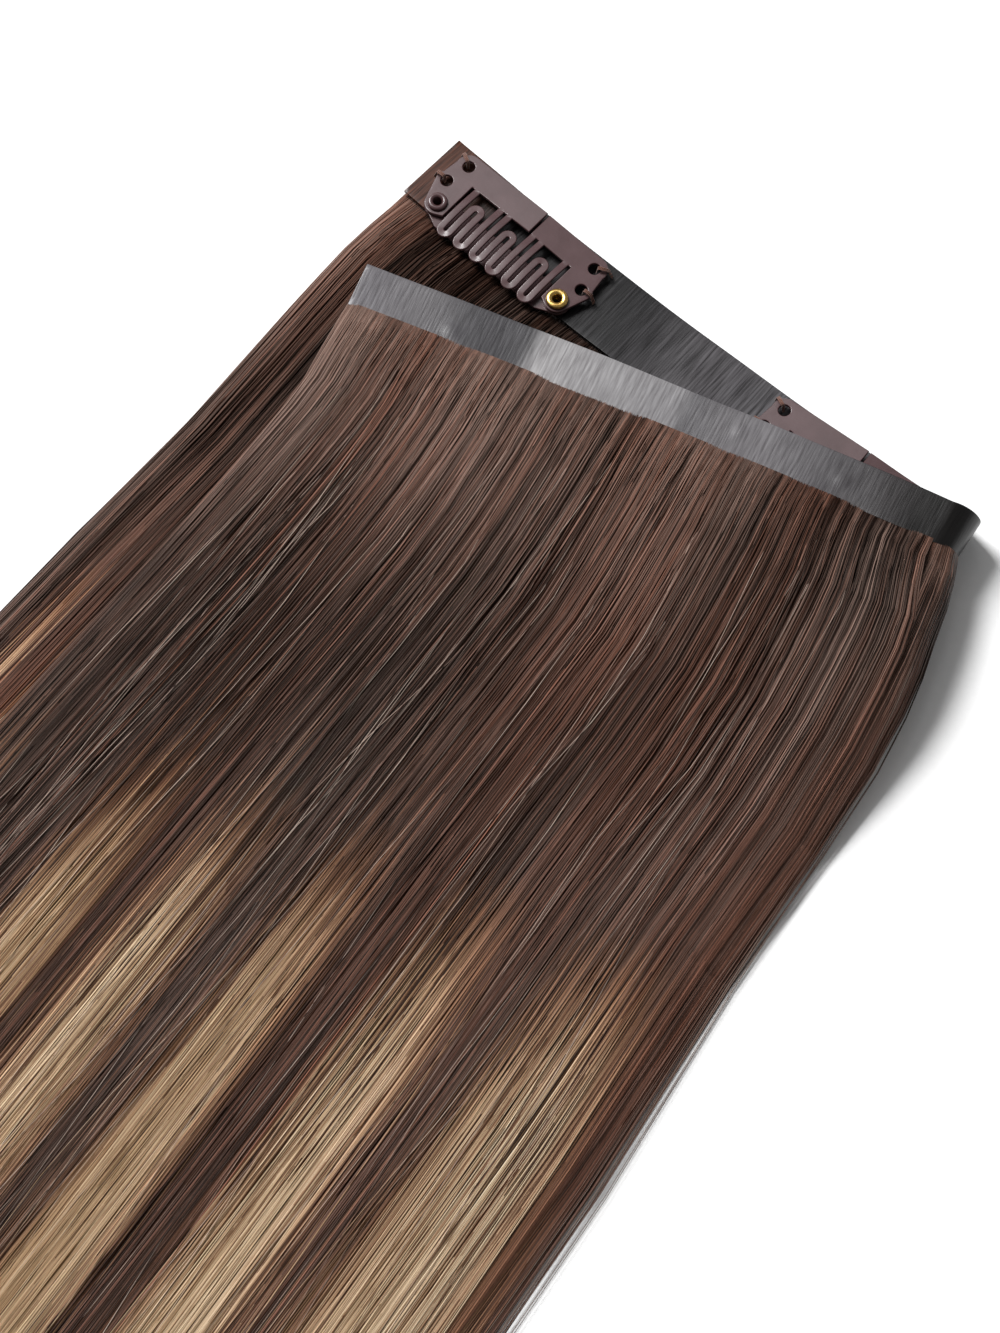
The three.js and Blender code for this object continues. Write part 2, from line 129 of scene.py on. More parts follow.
def leg_place(leg, distance):
    """Points of the band's top edge on a leg, with the directions across it and out of its inner face."""
    distance = np.asarray(distance, float)
    at_fold, at_end = np.radians(LEG_HEADINGS[leg])
    turned = (at_end - at_fold) * distance / LEG_LENGTHS[leg]
    chord = at_fold + turned / 2
    heading = at_fold + turned
    start = LEG_STARTS[leg]
    level = np.full_like(distance, LEG_HEIGHTS[leg])
    point = np.stack([start[0] - distance * np.cos(chord), start[1] - distance * np.sin(chord), level], -1)
    across = np.stack([np.sin(heading), -np.cos(heading), 0 * heading], -1)
    normal = np.zeros_like(point)
    normal[..., 2] = 1 if leg == "lower" else -1
    return point, across, normal


def fold_place(share):
    """The same on the fold, by the share of its half circle from the lower leg."""
    share = np.asarray(share, float)
    angle = share * math.pi
    (x, lower_y), (_, upper_y) = LEG_STARTS["lower"], LEG_STARTS["upper"]
    lower_heading, upper_heading = LEG_HEADINGS["lower"][0], LEG_HEADINGS["upper"][0]
    heading = np.radians(lower_heading + (upper_heading - lower_heading) * share)
    outward = np.stack([np.sin(angle) * np.cos(heading), np.sin(angle) * np.sin(heading), -np.cos(angle)], -1)
    centre = np.zeros_like(outward)
    centre[..., 0] = x
    centre[..., 1] = lower_y + (upper_y - lower_y) * share
    centre[..., 2] = LEG_HEIGHTS["lower"] + FOLD_RADIUS
    across = np.stack([np.sin(heading), -np.cos(heading), 0 * heading], -1)
    return centre + outward * FOLD_RADIUS, across, -outward


FOLD_LENGTH = math.pi * FOLD_RADIUS
BAND_LENGTH = LEG_LENGTHS["lower"] + FOLD_LENGTH + LEG_LENGTHS["upper"]


def band_place(run):
    """The same along the whole band, by the distance run from the lower leg's free end."""
    past_lower = run - LEG_LENGTHS["lower"]
    on_lower = leg_place("lower", np.clip(-past_lower, 0, None))
    on_fold = fold_place(np.clip(past_lower / FOLD_LENGTH, 0, 1))
    on_upper = leg_place("upper", np.clip(past_lower - FOLD_LENGTH, 0, None))
    places = []
    for lower, fold, upper in zip(on_lower, on_fold, on_upper):
        where = past_lower[:, None]
        places.append(np.where(where < 0, lower, np.where(where < FOLD_LENGTH, fold, upper)))
    return places


# A clip's own frame: x along it from the painted rivet to the brass eyelet, y up to the band's edge, z off
# the film. A seat is the leg, and how far along it from the fold the clip's middle is.

CLIP_SEATS = {1: ("lower", 83.6), 2: ("lower", 18.6), 3: ("upper", 16.7), 4: ("upper", 81.7)}
CLIP_INSET = 0.8
EYELET = (12.7, 10.1)


def clip_matrix(number):
    point, across, normal = (Vector(v) for v in leg_place(*CLIP_SEATS[number]))
    up = -across
    along = up.cross(normal)
    turn = Matrix((along, up, normal)).transposed().to_4x4()
    return Matrix.Translation(point + CLIP_INSET * across + PLY * normal) @ turn


def middle_of(node):
    low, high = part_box(node)
    return (low + high) / 2


# The fold's place in the row frame follows from where the solids have the first clip's rivet.
fold_origin = middle_of("clip_1_rivet") / MM - clip_matrix(1) @ Vector((-EYELET[0], -EYELET[1], 0))
fold_origin.z = 0
to_row = Matrix.Scale(MM, 4) @ Matrix.Translation(fold_origin)


def place_points(points):
    return (np.asarray(points) + np.array(fold_origin)) * MM


# Materials

def linear(colour):
    """An sRGB hex colour as the linear colour that a shader takes."""
    parts = [int(colour[i : i + 2], 16) / 255 for i in (1, 3, 5)]
    return (*[c / 12.92 if c <= 0.04045 else ((c + 0.055) / 1.055) ** 2.4 for c in parts], 1)


def add(tree, kind, inputs=None, **properties):
    """Adds a node: its properties, and its inputs by name or number, each a value or an output to link."""
    node = tree.nodes.new(kind)
    for name, value in properties.items():
        setattr(node, name, value)
    for name, value in (inputs or {}).items():
        if isinstance(value, bpy.types.NodeSocket):
            tree.links.new(value, node.inputs[name])
        else:
            node.inputs[name].default_value = value
    return node


def new_material(name):
    material = bpy.data.materials.new(name)
    material.use_nodes = True
    material.node_tree.nodes.clear()
    return material, material.node_tree


def finished(material, shader):
    add(material.node_tree, "ShaderNodeOutputMaterial", {"Surface": shader.outputs[0]})
    return material


def film_material(name, tint_and_painted_light, streak_low, gloss):
    """Polyurethane film, calendered and heat bonded: grey and glossy, with fine streaks from the hair inside.

    The tones given are places along the band in mm and the film's tone there: painted reflection where the
    glossy film is lighter and painted shade where it is darker, near black round the fold."""
    material, tree = new_material(name)
    uv = add(tree, "ShaderNodeUVMap")
    in_mm = add(tree, "ShaderNodeMapping", {0: uv.outputs[0], "Scale": (BAND_LENGTH, INNER_PLY, 1)})
    streak_place = add(tree, "ShaderNodeMapping", {0: in_mm.outputs[0], "Scale": (2.6, 0.12, 1)})
    streaks = add(tree, "ShaderNodeTexNoise", {"Vector": streak_place.outputs[0], "Scale": 1, "Detail": 4})
    along = add(tree, "ShaderNodeSeparateXYZ", {0: uv.outputs[0]})
    tone = add(tree, "ShaderNodeValToRGB", {0: along.outputs[0]})
    ramp = tone.color_ramp
    ramp.elements.remove(ramp.elements[1])
    ramp.elements[0].position, ramp.elements[0].color = tint_and_painted_light[0][0] / BAND_LENGTH, linear(tint_and_painted_light[0][1])
    for run, colour in tint_and_painted_light[1:]:
        ramp.elements.new(run / BAND_LENGTH).color = linear(colour)
    sharpened = add(
        tree, "ShaderNodeMapRange", {"Value": streaks.outputs[0], "From Min": 0.35, "From Max": 0.68}
    )
    streaked = add(
        tree, "ShaderNodeMix",
        {0: sharpened.outputs[0], 6: linear(streak_low), 7: linear("#ffffff")},
        data_type="RGBA",
    )
    colour = add(
        tree, "ShaderNodeMix", {0: 1.0, 6: tone.outputs[0], 7: streaked.outputs[2]},
        data_type="RGBA", blend_type="MULTIPLY",
    )
    roughness = add(
        tree, "ShaderNodeMapRange",
        {"Value": streaks.outputs[0], "From Min": 0.3, "From Max": 0.7, "To Min": 0.26, "To Max": 0.4},
    )
    bump = add(
        tree, "ShaderNodeBump", {"Height": streaks.outputs[0], "Strength": 0.35, "Distance": 0.1 * MM}
    )
    shader = add(
        tree, "ShaderNodeBsdfPrincipled",
        {
            "Base Color": colour.outputs[2], "Roughness": roughness.outputs[0],
            "Normal": bump.outputs[0], "Specular IOR Level": gloss,
        },
    )
    return finished(material, shader)


def paint_material():
    """Spring steel, stamped and baked with a mauve-brown enamel: satin gloss with a faint orange peel."""
    material, tree = new_material("enamelled_steel")
    place = add(tree, "ShaderNodeTexCoord")
    cloud = add(tree, "ShaderNodeTexNoise", {"Vector": place.outputs["Object"], "Scale": 260, "Detail": 3})
    colour = add(
        tree, "ShaderNodeMix",
        {0: cloud.outputs[0], 6: linear("#372122"), 7: linear("#553e40")},
        data_type="RGBA",
    )
    peel = add(tree, "ShaderNodeTexNoise", {"Vector": place.outputs["Object"], "Scale": 1600, "Detail": 2})
    bump = add(tree, "ShaderNodeBump", {"Height": peel.outputs[0], "Strength": 0.12, "Distance": 0.05 * MM})
    shader = add(
        tree, "ShaderNodeBsdfPrincipled",
        {
            "Base Color": colour.outputs[2], "Roughness": 0.34, "Normal": bump.outputs[0],
            "Specular IOR Level": 0.4, "Coat Weight": 0.25, "Coat Roughness": 0.15,
        },
    )
    return finished(material, shader)


def brass_material():
    """Brass, drawn and rolled over: bright yellow metal with fine rub marks."""
    material, tree = new_material("rolled_brass")
    place = add(tree, "ShaderNodeTexCoord")
    rubs = add(tree, "ShaderNodeTexNoise", {"Vector": place.outputs["Object"], "Scale": 2200, "Detail": 3})
    colour = add(
        tree, "ShaderNodeMix",
        {0: rubs.outputs[0], 6: linear("#b98a3a"), 7: linear("#f0cf86")},
        data_type="RGBA",
    )
    roughness = add(tree, "ShaderNodeMapRange", {"Value": rubs.outputs[0], "To Min": 0.16, "To Max": 0.4})
    shader = add(
        tree, "ShaderNodeBsdfPrincipled",
        {"Base Color": colour.outputs[2], "Metallic": 1, "Roughness": roughness.outputs[0]},
    )
    return finished(material, shader)


def thread_material():
    """Spun polyester sewing thread, dyed brown: matt, with a twist that shows as fine slanted ridges."""
    material, tree = new_material("polyester_thread")
    place = add(tree, "ShaderNodeTexCoord")
    twist = add(
        tree, "ShaderNodeTexWave", {"Vector": place.outputs["Object"], "Scale": 1400, "Distortion": 1.5}
    )
    colour = add(
        tree, "ShaderNodeMix",
        {0: twist.outputs[1], 6: linear("#3a221b"), 7: linear("#7c4a34")},
        data_type="RGBA",
    )
    bump = add(tree, "ShaderNodeBump", {"Height": twist.outputs[1], "Strength": 0.5, "Distance": 0.05 * MM})
    shader = add(
        tree, "ShaderNodeBsdfPrincipled",
        {"Base Color": colour.outputs[2], "Roughness": 0.75, "Normal": bump.outputs[0], "Sheen Weight": 0.3},
    )
    return finished(material, shader)


# Cool brown, warm brown, caramel and beige, each from its deepest shade to its lightest
HAIR_DYES = [("#180e0a", "#937a6f"), ("#211009", "#a26a54"), ("#6b432a", "#d8a276"), ("#a68866", "#fde9ca")]


def hair_material(name, depth):
    """Human hair, dyed in balayage: satin, and each strand brings its own shade, warmth and lightening; its
    shade and warmth also carry painted sheen, painted light and painted shade.

    A glint is a painted highlight where a stray hair turns its flat side to the light. depth is painted shade
    that darkens what lies in shade."""
    material, tree = new_material(name)
    shade, warmth, lightened, painted_glint = (
        add(tree, "ShaderNodeAttribute", attribute_name=word).outputs["Fac"]
        for word in ("shade", "warmth", "lightened", "painted_glint")
    )
    cool, warm, caramel, beige = (
        add(tree, "ShaderNodeMix", {0: shade, 6: linear(dark), 7: linear(light)}, data_type="RGBA").outputs[2]
        for dark, light in HAIR_DYES
    )
    brown = add(tree, "ShaderNodeMix", {0: warmth, 6: cool, 7: warm}, data_type="RGBA")
    lift = add(tree, "ShaderNodeMapRange", {"Value": lightened, "From Min": 0.25, "From Max": 0.9})
    blonde = add(tree, "ShaderNodeMix", {0: lift.outputs[0], 6: caramel, 7: beige}, data_type="RGBA")
    spread = add(tree, "ShaderNodeMapRange", {"Value": lightened, "From Min": 0.02, "From Max": 0.55})
    colour = add(
        tree, "ShaderNodeMix", {0: spread.outputs[0], 6: brown.outputs[2], 7: blonde.outputs[2]},
        data_type="RGBA",
    )
    # Painted highlight: a stray hair's glint mixed into its colour.
    painted_glint_mix = add(
        tree, "ShaderNodeMix", {0: painted_glint, 6: colour.outputs[2], 7: linear("#f2dccd")}, data_type="RGBA"
    )
    # Painted shade: the colour is darkened by depth.
    in_painted_shade = add(
        tree, "ShaderNodeMix", {0: 1.0, 6: painted_glint_mix.outputs[2], 7: (depth, depth, depth, 1)},
        data_type="RGBA", blend_type="MULTIPLY",
    )
    shader = add(
        tree, "ShaderNodeBsdfPrincipled",
        {
            "Base Color": in_painted_shade.outputs[2], "Roughness": 0.4, "Specular IOR Level": 0.24,
            "Specular Tint": linear("#f5ddd0"),
        },
    )
    return finished(material, shader)


def floor_material():
    """White card: matt, with a grain too fine to see."""
    material, tree = new_material("white_card")
    place = add(tree, "ShaderNodeTexCoord")
    grain = add(tree, "ShaderNodeTexNoise", {"Vector": place.outputs["Object"], "Scale": 900})
    colour = add(
        tree, "ShaderNodeMix",
        {0: grain.outputs[0], 6: linear("#f2f2f2"), 7: linear("#f8f8f8")},
        data_type="RGBA",
    )
    shader = add(tree, "ShaderNodeBsdfPrincipled", {"Base Color": colour.outputs[2], "Roughness": 0.9})
    return finished(material, shader)


# The film's grey along the band, by mm from the lower leg's free end. Its lighter and darker stretches are
# painted reflection and painted shade of the glossy film, near black round the fold; the inner face is also
# brown at its free end.
INNER_FACE = [
    (0, "#57301f"), (8, "#472a1f"), (14, "#221e1f"), (40, "#1f1e20"), (55, "#504d50"),
    (72, "#626063"), (92, "#525053"), (102, "#2e2c2e"), (112, "#1c1b1c"), (BAND_LENGTH, "#1c1b1c"),
]
OUTER_FACE = [
    (0, "#4c4a4d"), (100, "#2c2a2b"), (108, "#080504"), (118, "#0a0706"), (124, "#231e20"),
    (134, "#4a474a"), (146, "#6f6c6f"), (153, "#595659"), (158, "#565457"), (160.5, "#858385"),
    (183, "#929091"), (186, "#333135"), (195, "#38363a"), (203, "#595659"), (212, "#646165"),
]
film_finishes = {
    "inner": film_material("film_inner_face", INNER_FACE, "#828081", 0.22),
    "outer": film_material("film_outer_face", OUTER_FACE, "#c4c2c3", 0.42),
}
paint_finish = paint_material()
brass_finish = brass_material()
thread_finish = thread_material()
hair_finish = hair_material("balayage_hair", 1.0)
# The beds under the strands get painted shade.
bed_finish = hair_material("balayage_hair_in_shade", 0.55)


# Camera, floor and lights

CAMERA_AZIMUTH = math.radians(35)
CAMERA_ELEVATION = math.radians(64)
CAMERA_DISTANCE = 2.5
CAMERA_LENS = 435.4
CAMERA_SENSOR = 36
PHOTO_CENTRE = Vector((5.5, 150.5, 0)) * MM
# Softboxes: place and size in metres, and watts
KEY_LIGHT = ((-0.92, 0.36, 1.16), (0.6, 0.6), 34)
BACK_LIGHT = ((-0.45, 0.95, 1.35), (0.35, 0.25), 0.6)
LIT_PLACE = Vector((0, 0.1, 0))
ROOM_STRENGTH = 0.24
FLOOR_SIZE = 6


def aim(thing, target):
    thing.rotation_euler = (target - thing.location).to_track_quat("-Z", "Y").to_euler()


def make_camera():
    data = bpy.data.cameras.new("camera")
    data.sensor_fit = "VERTICAL"
    data.sensor_height = data.sensor_width = CAMERA_SENSOR
    data.lens = CAMERA_LENS
    camera = new_object("camera", data)
    flat, rise = math.cos(CAMERA_ELEVATION), math.sin(CAMERA_ELEVATION)
    back = Vector((math.sin(CAMERA_AZIMUTH) * flat, -math.cos(CAMERA_AZIMUTH) * flat, rise))
    camera.location = PHOTO_CENTRE + back * CAMERA_DISTANCE
    aim(camera, PHOTO_CENTRE)
    scene.camera = camera


def make_softbox(name, place, size, watts):
    data = bpy.data.lights.new(name, "AREA")
    data.shape = "RECTANGLE"
    data.size, data.size_y = size
    data.energy = watts
    light = new_object(name, data)
    light.location = place
    aim(light, LIT_PLACE)


def make_floor():
    bpy.ops.object.select_all(action="DESELECT")
    bpy.ops.mesh.primitive_grid_add(x_subdivisions=8, y_subdivisions=8, size=FLOOR_SIZE)
    floor = bpy.context.object
    floor.name = "floor"
    floor.data.materials.append(floor_material())


def light_the_room():
    world = bpy.data.worlds.new("room")
    world.use_nodes = True
    glow = world.node_tree.nodes["Background"]
    glow.inputs["Color"].default_value = (1, 1, 1, 1)
    glow.inputs["Strength"].default_value = ROOM_STRENGTH
    scene.world = world
    scene.view_settings.view_transform = "Standard"
    make_softbox("key", *KEY_LIGHT)
    make_softbox("back", *BACK_LIGHT)


make_camera()
make_floor()
light_the_room()


# The film band

# Dimples where the sewing pulls, as distances along and across the band
PUCKERS = [(197.6, 5.6), (149, 3.4), (131.4, 4.2)]


def band_swell(run, depth):
    """How the bonded film rises and falls, in mm: long swells, with puckers where the sewing pulls."""
    swell = 0.16 * np.sin(run / 5.3 + 0.4 * depth / INNER_PLY) * np.sin(run / 17 + 1)
    swell += 0.1 * np.sin(run / 2.3 + 2) * (depth / INNER_PLY)
    for centre, middle in PUCKERS:
        swell -= 0.16 * np.exp(-(((run - centre) / 1.1) ** 2) - ((depth - middle) / 0.9) ** 2)
    free = np.minimum(run, BAND_LENGTH - run)
    return swell * smoothstep(0, 6, free)


def film_ply(width, side, run_steps=300, width_steps=10):
    """One ply as a sheet laid along the band's course and given its thickness."""
    bpy.ops.object.select_all(action="DESELECT")
    bpy.ops.mesh.primitive_grid_add(x_subdivisions=run_steps, y_subdivisions=width_steps, size=1)
    ply = bpy.context.object
    ply.data.materials.append(film_finishes["inner" if side > 0 else "outer"])
    flat = vertices_of(ply) + 0.5
    run = flat[:, 0] * BAND_LENGTH
    depth = flat[:, 1] * width
    point, across, normal = band_place(run)
    rise = side * PLY / 2 + band_swell(run, depth)
    course = point + across * depth[:, None] + normal * rise[:, None]
    set_vertices(ply, place_points(course))
    apply_modifier(ply, "SOLIDIFY", thickness=0.97 * PLY * MM, offset=0)
    apply_modifier(
        ply, "BEVEL", width=0.14 * MM, segments=2, limit_method="ANGLE", angle_limit=math.radians(60)
    )
    return ply


def film_band():
    band = join("film_band", film_ply(INNER_PLY, 1), film_ply(OUTER_PLY, -1))
    smooth(band)
    return belongs(band, ["weft_band"])


film_band()


# The clips

PLATE_TILT = math.tan(math.radians(2.5))
PLATE_END_HEIGHT = 1.4
PLATE_THICKNESS = 0.6
TOP_BAR = 4.45
TOOTH_PITCH = 1.7
TOOTH_WIDTH = 1.15
TOOTH_TIP = 14.2
ARCH_TOP = 6.2
TOOTH_RISE = 0.5
SLIT = 0.4
SEWING_HOLE = 1.0
# Each sewing hole: its place, and the radius of the plate's lobe round it
UPPER_HOLE = (13.35, 2.1, 2.15)
LOWER_HOLE = (14.3, 6.2, 1.85)
EYELET_LAND = 2.1
TOOTH_THICKNESS = 0.5
BACK_BAR_TOP = 8.1
BACK_BAR_BOTTOM = 13.2
BACK_BAR_THICKNESS = 0.5
SEAL = 0.3
SHANK = 1.0
BORE = 0.7
RIVET_RIM = 1.6
EYELET_RIM = 1.78
THREAD_RADIUS = 0.1


def arc(x, y, radius, start, end, steps=14):
    angles = np.radians(np.linspace(start, end, steps))
    return [(x + radius * math.cos(a), -y + radius * math.sin(a), 0) for a in angles]


def add_spline(data, points, closed):
    spline = data.splines.new("POLY")
    spline.points.add(len(points) - 1)
    for drawn, point in zip(spline.points, points):
        drawn.co = (*point, 1)
    spline.use_cyclic_u = closed


def curve_piece(name, lines, closed, dimensions, **settings):
    """A mesh from a drawn curve, with the curve's own thickness, edge rounding and fill."""
    data = bpy.data.curves.new(name, "CURVE")
    data.dimensions = dimensions
    for word, value in settings.items():
        setattr(data, word, value)
    for points in lines:
        add_spline(data, points, closed)
    piece = new_object(name, data)
    select_only(piece)
    bpy.ops.object.convert(target="MESH")
    return piece


def stamped(name, outline, thickness, edge=0.14):
    """Sheet metal stamped to an outline with holes, with the soft edges that stamping and paint leave."""
    return curve_piece(
        name, outline, True, "2D", fill_mode="BOTH", extrude=thickness / 2 - edge, bevel_depth=edge,
        bevel_resolution=2, offset=-edge,
    )


def mirrored(points):
    return [(-x, y, z) for x, y, z in reversed(points)]


def plate_outline():
    """The right half of the plate: its part of the top bar and the lobed end with its three holes."""
    high_x, high_y, high_land = UPPER_HOLE
    low_x, low_y, low_land = LOWER_HOLE
    inner = 6 * TOOTH_PITCH + (TOOTH_PITCH - TOOTH_WIDTH) / 2
    lobes = arc(high_x, high_y, high_land, 90, -12) + arc(low_x, low_y, low_land, 35, -25)
    lobes += arc(EYELET[0], EYELET[1], EYELET_LAND, -15, -110)
    holes = [
        arc(high_x, high_y, SEWING_HOLE, 0, 345, 24),
        arc(low_x, low_y, SEWING_HOLE, 0, 345, 24),
        arc(*EYELET, SHANK + SEAL, 0, 345, 24),
    ]
    return lobes, inner, holes


def plate_half(side):
    lobes, inner, holes = plate_outline()
    window = 1.5 * TOOTH_PITCH - TOOTH_WIDTH / 2
    slit_edge = window if side > 0 else window - SLIT
    slit_top, slit_bottom = (slit_edge, 0, 0), (slit_edge, -TOP_BAR, 0)
    end = [*lobes, (inner, -EYELET[1] - 0.6 * EYELET_LAND, 0), (inner, -TOP_BAR, 0)]
    if side > 0:
        outline = [slit_top, *end, slit_bottom]
    else:
        outline = [slit_bottom, *mirrored(end), slit_top]
        holes = [mirrored(hole) for hole in holes]
    half = stamped("plate_half", [outline, *holes], PLATE_THICKNESS)
    places = vertices_of(half)
    places[:, 2] += PLATE_END_HEIGHT + (EYELET[0] - side * places[:, 0]) * PLATE_TILT
    set_vertices(half, places)
    return half


def serpentine_path(middle):
    """Down, round a tooth, up over the arch, down, round a tooth and up again."""
    bend = TOOTH_PITCH / 2
    tooth_y = TOOTH_TIP - TOOTH_WIDTH / 2 - bend
    arch_y = ARCH_TOP + TOOTH_WIDTH / 2 + bend
    outer = TOOTH_PITCH + bend
    down = [(-outer, y) for y in np.linspace(0.8 * TOP_BAR, tooth_y, 8)[:-1]]
    round_tooth = [
        (bend * math.cos(a) - TOOTH_PITCH, tooth_y + bend * math.sin(a))
        for a in np.linspace(math.pi, 0, 11)
    ]
    up = [(-bend, y) for y in np.linspace(tooth_y, arch_y, 5)[1:-1]]
    over = [(bend * math.cos(a), arch_y - bend * math.sin(a)) for a in np.linspace(math.pi, 0, 11)]
    half = down + round_tooth + up
    path = half + over + [(-x, y) for x, y in reversed(half)]
    points = []
    for x, y in path:
        along = np.clip((y - TOP_BAR) / (TOOTH_TIP - TOP_BAR), 0, 1)
        height = PLATE_END_HEIGHT + (EYELET[0] - abs(x + middle)) * PLATE_TILT
        points.append((x + middle, -y, height + TOOTH_RISE * math.sin(math.pi * along)))
    return points


def teeth():
    """The three serpentines as flat wire with rounded edges."""
    edge = 0.16
    flat_width, flat_thickness = TOOTH_WIDTH / 2 - edge, TOOTH_THICKNESS / 2 - edge
    corners = [(1, 1, 0), (-1, 1, 90), (-1, -1, 180), (1, -1, 270)]
    section = []
    for x, y, start in corners:
        for turn in np.radians(np.linspace(start, start + 90, 4)):
            out_x, out_y = edge * math.cos(turn), edge * math.sin(turn)
            section.append((x * flat_width + out_x, y * flat_thickness + out_y, 0))
    data = bpy.data.curves.new("tooth_section", "CURVE")
    add_spline(data, section, True)
    profile = new_object("tooth_section", data)
    spacing = 4 * TOOTH_PITCH
    wire = curve_piece(
        "teeth", [serpentine_path(i * spacing) for i in (-1, 0, 1)], False, "3D",
        twist_mode="Z_UP", bevel_mode="OBJECT", bevel_object=profile, use_fill_caps=True,
    )
    bpy.data.objects.remove(profile)
    return wire


def turn_outwards(piece):
    select_only(piece)
    bpy.ops.object.mode_set(mode="EDIT")
    bpy.ops.mesh.select_all(action="SELECT")
    bpy.ops.mesh.remove_doubles(threshold=0.001)
    bpy.ops.mesh.normals_make_consistent(inside=False)
    bpy.ops.mesh.select_all(action="DESELECT")
    bpy.ops.object.mode_set(mode="OBJECT")


def comb_plate():
    plate = join("comb_plate", plate_half(-1), plate_half(1))
    turn_outwards(plate)
    wire = teeth()
    turn_outwards(wire)
    apply_modifier(plate, "BOOLEAN", object=wire, operation="UNION", solver="EXACT")
    bpy.data.objects.remove(wire)
    plate.data.materials.append(paint_finish)
    smooth(plate)
    return plate


def back_bar():
    inner = EYELET[0] - EYELET_LAND
    right_end = arc(*EYELET, EYELET_LAND, -90, 90, 24)
    outline = [(-inner, -BACK_BAR_BOTTOM, 0), (inner, -BACK_BAR_BOTTOM, 0), *right_end]
    outline += [(inner, -BACK_BAR_TOP, 0), (-inner, -BACK_BAR_TOP, 0), *mirrored(right_end)]
    hole = arc(*EYELET, SHANK + SEAL, 0, 345, 24)
    bar = stamped("back_bar", [outline, hole, mirrored(hole)], BACK_BAR_THICKNESS)
    places = vertices_of(bar)
    places[:, 2] += SEAL + BACK_BAR_THICKNESS / 2
    set_vertices(bar, places)
    turn_outwards(bar)
    bar.data.materials.append(paint_finish)
    smooth(bar)
    return bar


def rolled_rivet(name, rim, finish):
    """A hollow rivet turned from its profile: the bore, the shank and the rim rolled over the plate."""
    under = PLATE_END_HEIGHT + PLATE_THICKNESS / 2 + 0.5 * SEAL + rim * PLATE_TILT
    roll = (rim - BORE) / 2
    rolled_rim = [
        (BORE + roll - roll * math.cos(a), 0, under + 0.08 + 0.42 * math.sin(a))
        for a in np.linspace(math.pi, 0, 12)
    ]
    profile = [(BORE, 0, SEAL), (SHANK, 0, SEAL), (SHANK, 0, under), *rolled_rim]
    mesh = bpy.data.meshes.new(name)
    count = len(profile)
    mesh.from_pydata(profile, [(i, (i + 1) % count) for i in range(count)], [])
    piece = new_object(name, mesh)
    apply_modifier(
        piece, "SCREW", axis="Z", steps=40, render_steps=40, use_merge_vertices=True, merge_threshold=0.01
    )
    turn_outwards(piece)
    piece.data.materials.append(finish)
    smooth(piece, 50)
    return piece


def stitches():
    """Sewing thread from each sewing hole out over the plate's end and down into the film."""
    lines = []
    heights = [0.5, 2.15, 2.35, 2.15, 0.1]
    for side in (-1, 1):
        for (x, y, land), heading in ((UPPER_HOLE, 28), (LOWER_HOLE, 2)):
            reach = [0.35, 0.62, 0.95, land + 0.15, land + 0.75]
            for aside in (-0.2, 0.02, 0.22):
                line = []
                for radius, height in zip(reach, heights):
                    turn = math.radians(heading) + aside / max(radius, 0.6)
                    line.append((side * (x + radius * math.cos(turn)), -y + radius * math.sin(turn), height))
                lines.append(line)
    thread = curve_piece(
        "thread", lines, False, "3D", bevel_depth=THREAD_RADIUS, bevel_resolution=2, use_fill_caps=True
    )
    thread.data.materials.append(thread_finish)
    smooth(thread, 60)
    return thread


def make_clips():
    parts = {
        "comb_plate": (comb_plate(), (0, 0), "clip_paint", "plate"),
        "back_bar": (back_bar(), (0, 0), "clip_paint", "lower_bar"),
        "painted_rivet": (rolled_rivet("rivet", RIVET_RIM, paint_finish), (-1, -1), "clip_paint", "rivet"),
        "brass_eyelet": (rolled_rivet("eyelet", EYELET_RIM, brass_finish), (1, -1), "eyelet_brass", "eyelet"),
        "thread": (stitches(), (0, 0), None, None),
    }
    for number in CLIP_SEATS:
        for word, (pattern, (x, y), slot, node) in parts.items():
            name = f"clip_{number}_{word}"
            seat = Matrix.Translation((x * EYELET[0], y * EYELET[1], 0))
            mesh = pattern.data.copy()
            mesh.name = name
            mesh.transform(to_row @ clip_matrix(number) @ seat)
            piece = new_object(name, mesh)
            belongs(piece, [f"clip_{number}_{node}"] if node else ())
    for pattern, *_ in parts.values():
        bpy.data.objects.remove(pattern)


make_clips()


# The hair's pile, as in the solids. Each row is a distance below the fold in mm, the left and right edges of
# the two layers from the fold, and their heights off the surface.

HAIR_LENGTH = 406
PILE = np.array(
    [
        # y, lower left, lower right, upper left, upper right, lower top, upper top
        (-54.8, -112.6, 3.0, -98.5, 11.3, 6.0, 12.9),
        (-85.3, -116.0, 3.3, -101.5, 12.5, 5.9, 12.3),
        (-129.9, -120.5, 2.0, -106.0, 15.4, 5.4, 10.8),
        (-178.6, -124.0, -1.0, -109.0, 17.5, 4.9, 9.7),
        (-239.5, -127.0, -5.0, -111.1, 19.0, 4.2, 8.3),
        (-320.7, -128.0, -9.2, -112.0, 19.4, 3.2, 6.6),
        (-406.0, -124.0, -14.0, -109.0, 16.5, 2.2, 4.6),
        (-438.5, -122.0, -15.3, -108.0, 15.0, 2.0, 3.9),
    ]
)

# The upper layer's right edge flares over the fold, and the strands further in stay straight.
FLARE = 5.5
FLARE_POWER = 6
# The upper layer ends this far inside the pile's right edge, and the fold's own hair goes round it.
TUCK = 2.4

# Rows near the band: distance across it from its top edge, bottom, top, and how far the right edge flares.
# LEAN is how far the upper layer's left edge hangs over to the left at each of its first rows.
LOWER_ROOTS = [(11.6, 1.4, 2.0, 0), (13, 0.7, 2.3, 0), (16, 0.2, 3.6, 0), (25.6, 0, 5.4, 1.9)]
UPPER_ROOTS = [
    (7.2, 10.7, 11.0, 0),
    (9, 10.9, 11.6, 0),
    (12.7, 10.9, 12.1, 0.8),
    (16, 9.9, 12.3, 1.9),
    (24.4, 8.3, 12.9, 4.6),
]
LEAN = [0, 0, 0.4, 0.8, 1.7, 1.6, 0.5]


